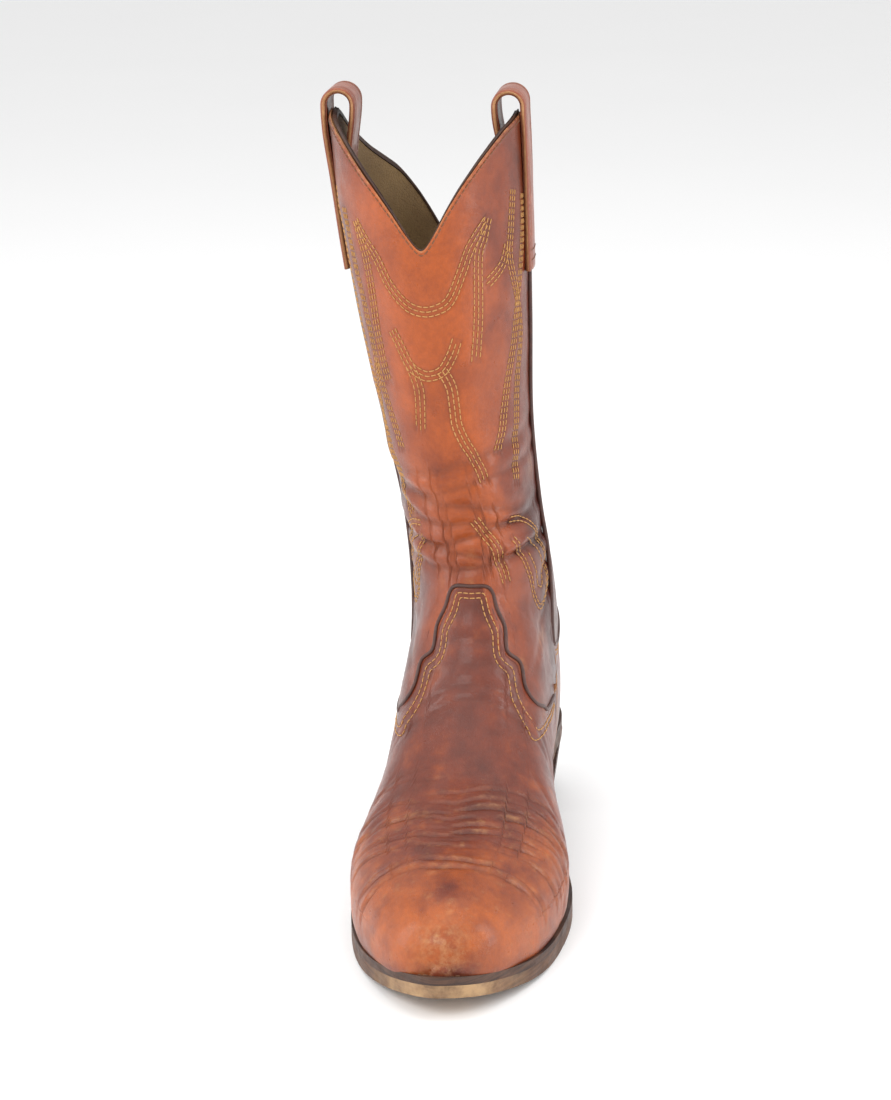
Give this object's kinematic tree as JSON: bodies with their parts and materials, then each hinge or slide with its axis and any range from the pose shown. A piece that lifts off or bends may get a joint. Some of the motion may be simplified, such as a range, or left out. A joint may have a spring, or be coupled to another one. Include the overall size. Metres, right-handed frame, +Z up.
{
  "type": "cowboy boot",
  "caption": "Western pull-on boot for the right foot: tall stitched shaft with V-cut front and back, pull straps, pointed round toe, welted leather sole, underslung stacked heel.",
  "frame": {"origin": "on the floor, at the middle of the boot's bounding box", "axes": "+Z up; the toe points along -Y, the heel along +Y; +X is the medial side, towards the other boot of the pair"},
  "size_m": [0.1254, 0.3018, 0.3745],
  "materials": {
    "shaft_leather": "satin",
    "vamp_leather": "satin",
    "strap_leather": "satin",
    "top_band": "satin",
    "piping": "satin",
    "lining": "matte",
    "stiffener": "matte",
    "insole_leather": "matte",
    "sock_leather": "matte",
    "cork": "matte",
    "steel": "satin",
    "welt_leather": "satin",
    "sole_leather": "matte",
    "heel_leather": "satin",
    "heel_rubber": "matte",
    "thread": "matte",
    "brass": "satin",
    "wood": "matte"
  },
  "bodies": {
    "root": {"vamp": "vamp_leather", "counter_cover": "vamp_leather", "front_shaft_panel": "shaft_leather", "back_shaft_panel": "shaft_leather", "vamp_lining": "lining", "heel_lining": "lining", "front_shaft_lining": "lining", "back_shaft_lining": "lining", "toe_box": "stiffener", "heel_stiffener": "stiffener", "side_piping_medial": "piping", "side_piping_lateral": "piping", "vamp_piping": "piping", "counter_piping": "piping", "top_band_front": "top_band", "top_band_back": "top_band", "pull_strap_medial": "strap_leather", "pull_strap_lateral": "strap_leather", "insole": "insole_leather", "insole_rib": "insole_leather", "sock_liner": "sock_leather", "cork_filler": "cork", "heel_seat_filler": "cork", "steel_shank": "steel", "welt": "welt_leather", "heel_rand": "welt_leather", "outsole": "sole_leather", "heel_lift_1": "heel_leather", "heel_lift_2": "heel_leather", "heel_lift_3": "heel_leather", "heel_lift_4": "heel_leather", "heel_lift_5": "heel_leather", "heel_cap": "heel_rubber", "heel_nails": "brass", "shank_pegs": "wood"}
  },
  "joints": []
}
